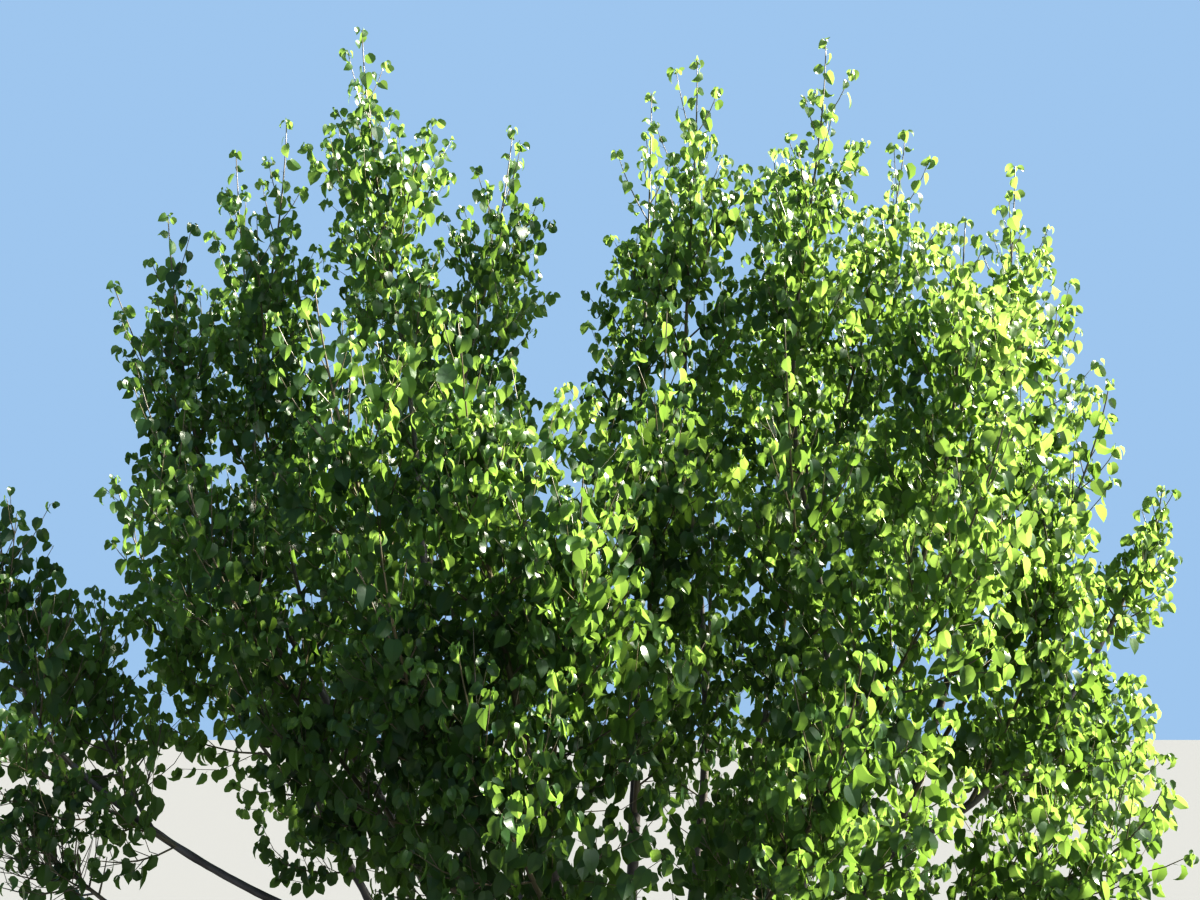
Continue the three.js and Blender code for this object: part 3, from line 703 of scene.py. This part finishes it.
def region_of(mass):
    """The part of the crown that a mass belongs to, by where its tip stands."""
    x, y = mass["tip"][:2]
    if abs(y) > FAR_REAR:
        return ("rear" if y > 0 else "front") + ("_west" if x < 0 else "_east")
    if abs(x) < NEAR_MIDDLE:
        return "middle"
    return ("west" if x < 0 else "east") + ("_side" if abs(x) > FAR_SIDE else "_spires")


regions = np.array([region_of(mass) for mass in masses])

# The space round each mass's stem is its own: nearer to its stem than to any other's.
axes = bezier(curves, np.arange(AXIS_POINTS + 1) / AXIS_POINTS)


def own_space(points, owners):
    """Whether each point lies in the space of the mass that owns it."""
    near = np.stack([np.linalg.norm(points[:, None] - axis, axis=2).min(axis=1) for axis in axes], 1)
    own = near[np.arange(len(points)), owners].copy()
    near[np.arange(len(points)), owners] = np.inf
    return near.min(axis=1) > own + SPACE_MARGIN


def shoot_profile(share):
    """How long a side shoot is for its place along the mass's stem, as a share of the spread."""
    swelling = np.minimum(1, PROFILE_FOOT + PROFILE_SWELL * share)
    tapering = 1 - PROFILE_TAPER * share**PROFILE_POWER
    return swelling * tapering


def grown(foot, out, rise, length):
    """Curves that leave their feet along a direction and bend upwards."""
    middle = foot + out * (0.5 * length)[:, None]
    end = foot + unit(out + rise * UP) * length[:, None]
    return np.stack([foot, middle, end], axis=1)


def side_shoots():
    """The first-order shoots of all the masses: owner, index, place along, curve and length."""
    owner = np.repeat(np.arange(len(masses)), SHOOT_COUNT)
    index = np.tile(np.arange(SHOOT_COUNT), len(masses))
    share = lerp(SHOOT_LOW, SHOOT_HIGH, index / (SHOOT_COUNT - 1))
    foot = bezier(curves[owner], share[:, None])[:, 0]
    tangent = tangents(curves[owner], share[:, None])[:, 0]
    side = sideways(tangent, seeds[owner] + index * GOLDEN_ANGLE)
    angle = lerp(SHOOT_ANGLE_LOW, SHOOT_ANGLE_HIGH, share)[:, None]
    out = tangent * np.cos(angle) + side * np.sin(angle)
    vigour = lerp(*SHOOT_VIGOUR, chance(seeds[owner], index, USE["vigour"]))
    full = spreads[owner] * shoot_profile(share) * vigour
    length = np.zeros(len(owner))
    for smaller in SMALLER:
        end = foot + unit(out + SHOOT_RISE * UP) * (full * smaller)[:, None]
        room = own_space(end, owner) & (length == 0)
        length[room] = (full * smaller)[room]
    kept = length > 0
    owner, index, share, foot, out, length = (
        values[kept] for values in (owner, index, share, foot, out, length)
    )
    curve = grown(foot, out, SHOOT_RISE, length)
    return {"owner": owner, "index": index, "share": share, "curve": curve, "length": length}


def fine_twigs(shoots):
    """The second-order twigs, a few on each side shoot."""
    parent = np.repeat(np.arange(len(shoots["owner"])), TWIG_COUNT)
    step = np.tile(np.arange(TWIG_COUNT), len(shoots["owner"]))
    owner = shoots["owner"][parent]
    index = shoots["index"][parent] * TWIG_COUNT + step
    drift = chance(seeds[owner], index, USE["drift"])
    uneven_step = step + TWIG_UNEVEN * (drift - 0.5)
    share = lerp(TWIG_LOW, TWIG_HIGH, uneven_step / (TWIG_COUNT - 1)).clip(*TWIG_PLACES)
    foot = bezier(shoots["curve"][parent], share[:, None])[:, 0]
    tangent = tangents(shoots["curve"][parent], share[:, None])[:, 0]
    side = sideways(tangent, seeds[owner] + shoots["index"][parent] + step * GOLDEN_ANGLE)
    out = tangent * np.cos(TWIG_ANGLE) + side * np.sin(TWIG_ANGLE)
    vigour = lerp(*TWIG_VIGOUR, chance(seeds[owner], index + SHOOT_COUNT * TWIG_COUNT, USE["vigour"]))
    length = shoots["length"][parent] * lerp(TWIG_SHARE_LOW, TWIG_SHARE_HIGH, share) * vigour
    kept = (length > SHORTEST_TWIG) & (shoots["share"][parent] < YOUNG_SHARE)
    curve = grown(foot[kept], out[kept], TWIG_RISE, length[kept])
    return {"parent": parent[kept], "owner": owner[kept], "index": index[kept], "curve": curve}


shoots = side_shoots()
twigs = fine_twigs(shoots)


# Leaves: each has a foot on its twig, a petiole and a blade that hangs from the petiole's end
LEAF_ROWS = [
    # along the blade and out from its midrib, as shares of its length
    (0.00, 0.15),
    (0.11, 0.30),
    (0.36, 0.38),
    (0.63, 0.29),
    (0.84, 0.12),
]
MIDRIB = (0.04, 0.14, 0.39, 0.66, 0.86, 1.0)
LEAF_FORMS = [
    # how far the blade bends back along its length and folds up along its midrib, in radians
    (0.5, 0.12),
    (0.9, 0.25),
    (1.4, 0.38),
    (2.0, 0.55),
]


def blade(bend, fold):
    """A blade's vertices: across, along and up from the end of its petiole."""

    def place(out, along):
        depth = (math.cos(bend * along) - 1) / bend
        lift = abs(out) * math.sin(fold)
        return (
            out * math.cos(fold),
            math.sin(bend * along) / bend + lift * math.sin(bend * along),
            depth + lift * math.cos(bend * along),
        )

    points = [place(0, along) for along in MIDRIB]
    for along, out in LEAF_ROWS:
        points += [place(-out, along), place(out, along)]
    return points


BLADES = np.array([blade(bend, fold) for bend, fold in LEAF_FORMS])
BLADE_POINTS = BLADES.shape[1]


def blade_triangles():
    """A fan at the heart-shaped base, pairs of faces between the rows, and the tip."""
    first = len(MIDRIB)
    tip = first - 1
    faces = []
    for side, flip in ((0, False), (1, True)):
        rim = [first + 2 * row + side for row in range(len(LEAF_ROWS))]
        half = [(0, 1, rim[0]), (1, rim[1], rim[0])]
        for row in range(1, len(LEAF_ROWS) - 1):
            half += [(row, row + 1, rim[row]), (row + 1, rim[row + 1], rim[row])]
        half.append((tip - 1, tip, rim[-1]))
        faces += [(a, c, b) if flip else (a, b, c) for a, b, c in half]
    return faces


def leaf_triangles():
    foot = BLADE_POINTS
    petiole = [(foot + k, foot + (k + 1) % PETIOLE_SIDES, 0) for k in range(PETIOLE_SIDES)]
    return np.array(blade_triangles() + petiole)


LEAF_TRIANGLES = leaf_triangles()


def leaves_on(curve, owner, spray, number, share, scale, whorl):
    """Leaves at shares along twigs. Whorl is 1 for a leaf of a tip's drooping tuft and 0 for others."""
    seed = seeds[owner]
    foot = bezier(curve, share[:, None])[:, 0]
    tangent = tangents(curve, share[:, None])[:, 0]
    turn = number * GOLDEN_ANGLE + 2 * np.pi * chance(seed, spray, USE["turn"])
    side = sideways(tangent, turn, reference_for(tangent))
    level = unit(side * np.array([1, 1, OUTWARD_RISE]))
    draws = [chance(seed, DRAWS_KEPT * number + k, USE["drift"]) for k in range(3)]
    shake = np.stack(draws, axis=1) - 0.5
    onwards = lerp(*PETIOLE_FORWARD, whorl)[:, None]
    petiole = unit(LEAF_OUTWARD * level + onwards * tangent + PETIOLE_RISE * UP + PETIOLE_SHAKE * shake)
    hang = lerp(*BLADE_HANG, chance(seed, number, USE["lift"]))
    hang = np.where(whorl > 0, WHORL_HANG * hang, hang)[:, None]
    along = unit(LEAF_OUTWARD * level + BLADE_FORWARD * tangent - hang * UP + BLADE_SHAKE * shake)
    wanted = LEAF_OUTWARD * level + UP
    face = unit(wanted - dot(wanted, along) * along)
    roll = lerp(-BLADE_ROLL, BLADE_ROLL, chance(seed, number, USE["roll"]))[:, None]
    across = np.cross(face, along)
    face = face * np.cos(roll) + across * np.sin(roll)
    form = (len(LEAF_FORMS) * chance(seed, number, USE["form"]) * FORM_SHARE).astype(int)
    form = np.where(whorl > 0, np.maximum(form, WHORL_FORM), form)
    length = LEAF_LENGTH * lerp(*LEAF_SIZES, chance(seed, number, USE["length"])) * scale
    shape = {"foot": foot, "petiole": petiole, "along": along, "face": face, "length": length, "form": form}
    return {**shape, "owner": owner, "spray": spray, "number": number, "whorl": whorl}


def spread_leaves(curve, owner, spray, base, bare, internode):
    """Leaves from each twig's tip down: small and crowded at the tip, larger and wider apart below."""
    marks = bezier(curve, np.linspace(0, 1, TWIG_MARKS))
    length = np.linalg.norm(np.diff(marks, axis=1), axis=2).sum(axis=1)
    most = int(length.max() / internode) + WHORL_LEAVES
    twig = np.repeat(np.arange(len(curve)), most)
    step = np.tile(np.arange(most), len(curve))
    last = WHORL_LEAVES - 1
    back = WHORL_STEP * np.minimum(step, last) + internode * np.maximum(step - last, 0)
    share = 1 - back / length[twig]
    kept = share > bare
    twig, step, share = (values[kept] for values in (twig, step, share))
    scale = np.minimum(1, TIP_LEAF + TIP_GROWTH * step)
    whorl = np.where(step > last, 0.0, 1.0)
    number = (base[twig] * LEAVES_KEPT + step).astype(np.int64)
    return leaves_on(curve[twig], owner[twig], spray[twig], number, share, scale, whorl)


def all_leaves():
    every = np.arange(len(masses))
    none = np.zeros(len(masses), int)
    shoot_number = 1 + shoots["index"]
    twig_number = 1 + SHOOT_COUNT + twigs["index"]
    twig_spray = shoots["index"][twigs["parent"]]
    batches = [
        spread_leaves(curves, every, none + SHOOT_COUNT, none, LEADER_BARE, INTERNODE_LEADER),
        spread_leaves(
            shoots["curve"], shoots["owner"], shoots["index"], shoot_number, SHOOT_BARE, INTERNODE_SHOOT
        ),
        spread_leaves(twigs["curve"], twigs["owner"], twig_spray, twig_number, TWIG_BARE, INTERNODE_TWIG),
    ]
    leaves = {key: np.concatenate([batch[key] for batch in batches]) for key in batches[0]}
    bare = chance(seeds[leaves["owner"]], leaves["number"], USE["bare"]) > leafiness[leaves["owner"]]
    centre = leaves["foot"] + leaves["along"] * (LEAF_CENTRE * leaves["length"])[:, None]
    blocked = np.zeros(len(centre), bool)
    for limb in limbs.values():
        path = bezier(limb["curve"], np.linspace(0, 1, LIMB_MARKS))
        nearest = np.full(len(centre), np.inf)
        for point in path:
            nearest = np.minimum(nearest, np.linalg.norm(centre - point, axis=1))
        blocked |= nearest < limb["girth"][0] + LIMB_CLEARANCE
    kept = ~bare & ~blocked
    return {key: values[kept] for key, values in leaves.items()}


leaves = all_leaves()
CROWN_TOP = cad_box[1][2]
CROWN_REACH = np.array([cad_box[1][0], cad_box[1][1]])


def tone_and_painted_light_of(leaves):
    """A shade for each spray: fresher at the tips and by chance, and as painted light paler high up,
    outside and on the side towards the sun, and deeper low down and inside, where shade falls.
    """
    seed = seeds[leaves["owner"]]
    height = leaves["foot"][:, 2] / CROWN_TOP
    out = np.linalg.norm(leaves["foot"][:, :2] / CROWN_REACH, axis=1)
    sun_side = leaves["foot"][:, 0] / CROWN_REACH[0]
    light = FRESH_AND_LIT_HEIGHT * height + FRESH_AND_LIT_OUTSIDE * out + PAINTED_SUN_SIDE * sun_side * height
    light = light + FRESH_TIP * leaves["whorl"]
    dealt = light + FRESH_CHANCE * chance(seed, leaves["spray"], USE["shade"]) - FRESH_SHIFT
    return (dealt * len(LEAF_SHADES)).astype(int).clip(0, len(LEAF_SHADES) - 1)


def leaf_mesh(name, chosen):
    """The chosen leaves as one joined mesh, with a material for each shade."""
    batch = {key: values[chosen] for key, values in leaves.items()}
    count = len(batch["foot"])
    across = np.cross(batch["face"], batch["along"])
    root = batch["foot"] + batch["petiole"] * (PETIOLE_LENGTH * batch["length"] / LEAF_LENGTH)[:, None]
    local = BLADES[batch["form"]] * batch["length"][:, None, None]
    blades = (
        root[:, None]
        + local[..., :1] * across[:, None]
        + local[..., 1:2] * batch["along"][:, None]
        + local[..., 2:] * batch["face"][:, None]
    )
    angles = 2 * np.pi * np.arange(PETIOLE_SIDES) / PETIOLE_SIDES
    ring = sideways(batch["petiole"][:, None], np.broadcast_to(angles, (count, PETIOLE_SIDES)))
    petioles = batch["foot"][:, None] + PETIOLE_RADIUS * ring
    vertices = np.concatenate([blades, petioles], axis=1)
    stride = vertices.shape[1]
    triangles = LEAF_TRIANGLES[None] + (np.arange(count) * stride)[:, None, None]
    # each spray's colour, partly painted light and painted shade
    shade = np.repeat(tone_and_painted_light_of(batch), len(LEAF_TRIANGLES))
    midrib = np.tile(np.arange(stride) < len(MIDRIB), count)
    return mesh_object(name, vertices.reshape(-1, 3), triangles.reshape(-1, 3), LEAF_SHADES, shade, midrib)


def twig_mesh(name, region):
    """The mass stems, side shoots and fine twigs of one region as one joined mesh."""
    chosen = regions == region
    stem_along = np.linspace(0, 1, LEADER_RINGS)
    stem_radii = lerp(feet[chosen][:, None], LEADER_TIP_RADIUS, stem_along[None] ** LEADER_TAPER)
    mine = chosen[shoots["owner"]]
    shoot_along = np.linspace(0, 1, SHOOT_RINGS)
    stem_there = lerp(feet[shoots["owner"]], LEADER_TIP_RADIUS, shoots["share"])
    shoot_foot = np.minimum(SHOOT_RADIUS, stem_there * SHOOT_SHARE)
    shoot_radii = lerp(shoot_foot[mine][:, None], SHOOT_TIP_RADIUS, shoot_along[None])
    fine = chosen[twigs["owner"]]
    fine_along = np.linspace(0, 1, TWIG_RINGS)
    fine_radii = np.broadcast_to(lerp(TWIG_RADIUS, TWIG_TIP_RADIUS, fine_along), (fine.sum(), TWIG_RINGS))
    parts = [
        tube_arrays(bezier(curves[chosen], stem_along), stem_radii, LEADER_SIDES),
        tube_arrays(bezier(shoots["curve"][mine], shoot_along), shoot_radii, SHOOT_SIDES),
        tube_arrays(bezier(twigs["curve"][fine], fine_along), fine_radii, TWIG_SIDES),
    ]
    vertices, triangles = joined(parts)
    return mesh_object(name, vertices, triangles, [twig_bark])


for region in sorted(set(regions)):
    wood = twig_mesh("twigs_" + region, region)
    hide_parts(*["foliage_" + mass["name"] for mass, its in zip(masses, regions) if its == region])
    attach(wood, "root")
    green = leaf_mesh("leaves_" + region, regions[leaves["owner"]] == region)
    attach(green, "root")


# Bark
def limb_mesh(name, limb, start):
    """One stem or bough: a dense tube whose skin has low swellings, wrinkles and branch collars."""
    curve, girth = limb["curve"], limb["girth"]
    marks = bezier(curve, np.linspace(start, 1, LENGTH_MARKS))
    length = np.linalg.norm(np.diff(marks, axis=0), axis=1).sum()
    rings = int(length / LIMB_STEP)
    share = np.linspace(start, 1, rings)
    path = bezier(curve, share)
    bend = np.stack([noise(path, BEND_SIZE, RELIEF_SEED["bend"] + k) for k in range(3)], axis=1)
    free = np.sin(np.pi * (share - start) / (1 - start))
    radius = radius_along(girth, share)
    path = path + BEND_SHARE * radius[:, None] * bend * free[:, None]
    along = (share - start) / (1 - start) * length
    for collar in limb["collars"]:
        reach = (share - collar) / (1 - start) * length / COLLAR_LENGTH
        radius = radius * (1 + COLLAR_SWELL * np.exp(-(reach**2)))
    vertices, triangles = tube_arrays(path[None], radius[None], LIMB_SIDES)
    centre = np.repeat(path, LIMB_SIDES, axis=0)
    out = unit(vertices[:-1] - centre)
    skin = vertices[:-1]
    swelling = noise(skin, SWELLING_SIZE, RELIEF_SEED["swelling"])
    wrinkle = noise(skin * WRINKLE_STRETCH, WRINKLE_SIZE, RELIEF_SEED["wrinkle"])
    relief = SWELLING_SHARE * swelling * np.repeat(radius, LIMB_SIDES) + WRINKLE_DEPTH * wrinkle
    vertices[:-1] = skin + out * relief[:, None]
    around = np.tile(np.arange(LIMB_SIDES) / LIMB_SIDES, rings) * 2 * np.pi * girth[0]
    uv = np.stack([around, np.repeat(along, LIMB_SIDES)], axis=1)
    uv = np.concatenate([uv, uv[-1:]])
    made = mesh_object(name + "_bark", vertices, triangles, [bark], uv=uv)
    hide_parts(name)
    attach(made, "root")


stem_names = [row[0] for row in STEMS]
for name, limb in limbs.items():
    limb_mesh(name, limb, STUB_END - STEM_OVERLAP if name in stem_names else 0.0)


def crown_shell():
    """The flared stool with its buttresses, as one closed skin."""
    height_marks, radius_marks, lobe_marks = np.array(CROWN_ROWS).T
    level = np.linspace(0, 1, CROWN_RINGS)
    radius = np.interp(level, height_marks, radius_marks)[:, None]
    lobe = np.interp(level, height_marks, lobe_marks)[:, None]
    angle = 2 * np.pi * np.arange(CROWN_SIDES)[None] / CROWN_SIDES
    swell = np.cos(ROOT_LOBES * angle + LOBE_TURN) + OVAL * np.cos(2 * angle)
    reach = radius * (1 + lobe * swell)
    height = level[:, None] * CROWN_HEIGHT
    height[0] = -CROWN_SINK
    height = np.broadcast_to(height, reach.shape)
    skin = np.stack([reach * np.cos(angle), reach * np.sin(angle), height], axis=2).reshape(-1, 3)
    vertices = np.concatenate([skin, [[0, 0, -CROWN_SINK], [0, 0, CROWN_HEIGHT]]])
    wall = ring_walls(CROWN_RINGS, CROWN_SIDES)
    bottom = ring_fan(0, CROWN_SIDES, len(skin), downwards=True)
    top = ring_fan(len(skin) - CROWN_SIDES, CROWN_SIDES, len(skin) + 1)
    return vertices, np.concatenate([wall, bottom, top])


def stub_tube(limb):
    """The lowest piece of a stem, as one closed skin."""
    share = np.linspace(0, STUB_END, STUB_RINGS)
    path = bezier(limb["curve"], share)
    vertices, triangles = tube_arrays(path[None], radius_along(limb["girth"], share)[None], LIMB_SIDES)
    cap = ring_fan(0, LIMB_SIDES, len(vertices), downwards=True)
    return np.concatenate([vertices, path[:1]]), np.concatenate([triangles, cap])


def cut_flat(mesh):
    """Cuts a closed mesh off at the ground and closes the cut with a flat face."""
    skin = bmesh.new()
    skin.from_mesh(mesh)
    everything = skin.verts[:] + skin.edges[:] + skin.faces[:]
    cut = bmesh.ops.bisect_plane(skin, geom=everything, plane_co=(0, 0, 0), plane_no=UP, clear_inner=True)
    rim = [item for item in cut["geom_cut"] if isinstance(item, bmesh.types.BMEdge)]
    bottom = bmesh.ops.holes_fill(skin, edges=rim)
    for edge in rim:
        edge.smooth = False
    for corner in skin.verts:
        corner.co.z = max(corner.co.z, 0)
    bmesh.ops.triangulate(skin, faces=bottom["faces"])
    skin.to_mesh(mesh)
    skin.free()


def places_of(vertices):
    """Where a mesh's vertices are."""
    places = np.empty(3 * len(vertices))
    vertices.foreach_get("co", places)
    return places.reshape(-1, 3)


def root_crown():
    """The stool and the stubs melted into one skin, with cracked old bark and a flat cut at the ground."""
    parts = [crown_shell()] + [stub_tube(limbs[name]) for name in stem_names]
    made = mesh_object("root_crown_bark", *joined(parts), [bark])
    melt = made.modifiers.new("melt", "REMESH")
    melt.mode = "VOXEL"
    melt.voxel_size = CROWN_VOXEL
    soften = made.modifiers.new("soften", "SMOOTH")
    soften.iterations = CROWN_SMOOTHING
    bpy.context.view_layer.update()
    solid = bpy.data.meshes.new_from_object(made.evaluated_get(bpy.context.evaluated_depsgraph_get()))
    made.modifiers.clear()
    made.data = solid
    skin = places_of(solid.vertices)
    normal = np.empty(skin.size, np.float32)
    solid.vertex_normals.foreach_get("vector", normal)
    ridges = noise(skin * RIDGE_STRETCH, RIDGE_SIZE, RELIEF_SEED["ridge"])
    lumps = noise(skin, LUMP_SIZE, RELIEF_SEED["lump"])
    skin = skin + normal.reshape(-1, 3) * (RIDGE_DEPTH * ridges + LUMP_DEPTH * lumps)[:, None]
    solid.vertices.foreach_set("co", skin.astype(np.float32).ravel())
    cut_flat(solid)
    solid.polygons.foreach_set("use_smooth", np.ones(len(solid.polygons), bool))
    skin = places_of(solid.vertices)
    layer = solid.uv_layers.new(name="bark")
    corner = np.empty(len(solid.loops), np.int32)
    solid.loops.foreach_get("vertex_index", corner)
    around = np.arctan2(skin[:, 1], skin[:, 0]) * CROWN_RADIUS
    layer.data.foreach_set("uv", np.stack([around, skin[:, 2]], 1)[corner].astype(np.float32).ravel())
    solid.update()
    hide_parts("root_crown")
    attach(made, "root")


root_crown()


# Floor, light and camera
def make_floor():
    bpy.ops.mesh.primitive_plane_add(size=FLOOR_SIZE, location=(0, 0, FLOOR_HEIGHT))
    floor = bpy.context.object
    floor.name = "floor"
    material, nodes, links, output = new_material("floor")
    shader = nodes.new("ShaderNodeBsdfPrincipled")
    shader.inputs["Base Color"].default_value = (*FLOOR_COLOUR, 1)
    shader.inputs["Roughness"].default_value = 1.0
    shader.inputs["Specular IOR Level"].default_value = 0
    links.new(shader.outputs[0], output.inputs[0])
    floor.data.materials.append(material)


def make_lights():
    world = bpy.data.worlds.new("studio")
    bpy.context.scene.world = world
    world.use_nodes = True
    backdrop = world.node_tree.nodes["Background"]
    backdrop.inputs["Color"].default_value = (*BACKDROP_COLOUR, 1)
    backdrop.inputs["Strength"].default_value = BACKDROP_STRENGTH
    for name, strength, width, colour, lean, turn in SUNS:
        sun = bpy.data.lights.new(name, "SUN")
        sun.energy = strength
        sun.angle = math.radians(width)
        sun.color = colour
        lamp = bpy.data.objects.new(name, sun)
        lamp.rotation_euler = (0, math.radians(lean), math.radians(turn))
        bpy.context.scene.collection.objects.link(lamp)


def set_film():
    film = bpy.context.scene.view_settings
    film.view_transform = "Standard"
    film.look = "High Contrast"


def make_camera():
    camera = bpy.data.cameras.new("photo_view")
    camera.sensor_fit = "HORIZONTAL"
    camera.sensor_width = SENSOR_WIDTH
    camera.lens = SENSOR_WIDTH * FOCAL_LENGTH_PX / PHOTO_WIDTH_PX
    camera.clip_end = CLIP_END
    holder = bpy.data.objects.new("photo_view", camera)
    holder.location = CAMERA_PLACE
    holder.rotation_euler = (math.pi / 2 + CAMERA_PITCH, 0, 0)
    bpy.context.scene.collection.objects.link(holder)
    bpy.context.scene.camera = holder


make_floor()
make_lights()
set_film()
make_camera()
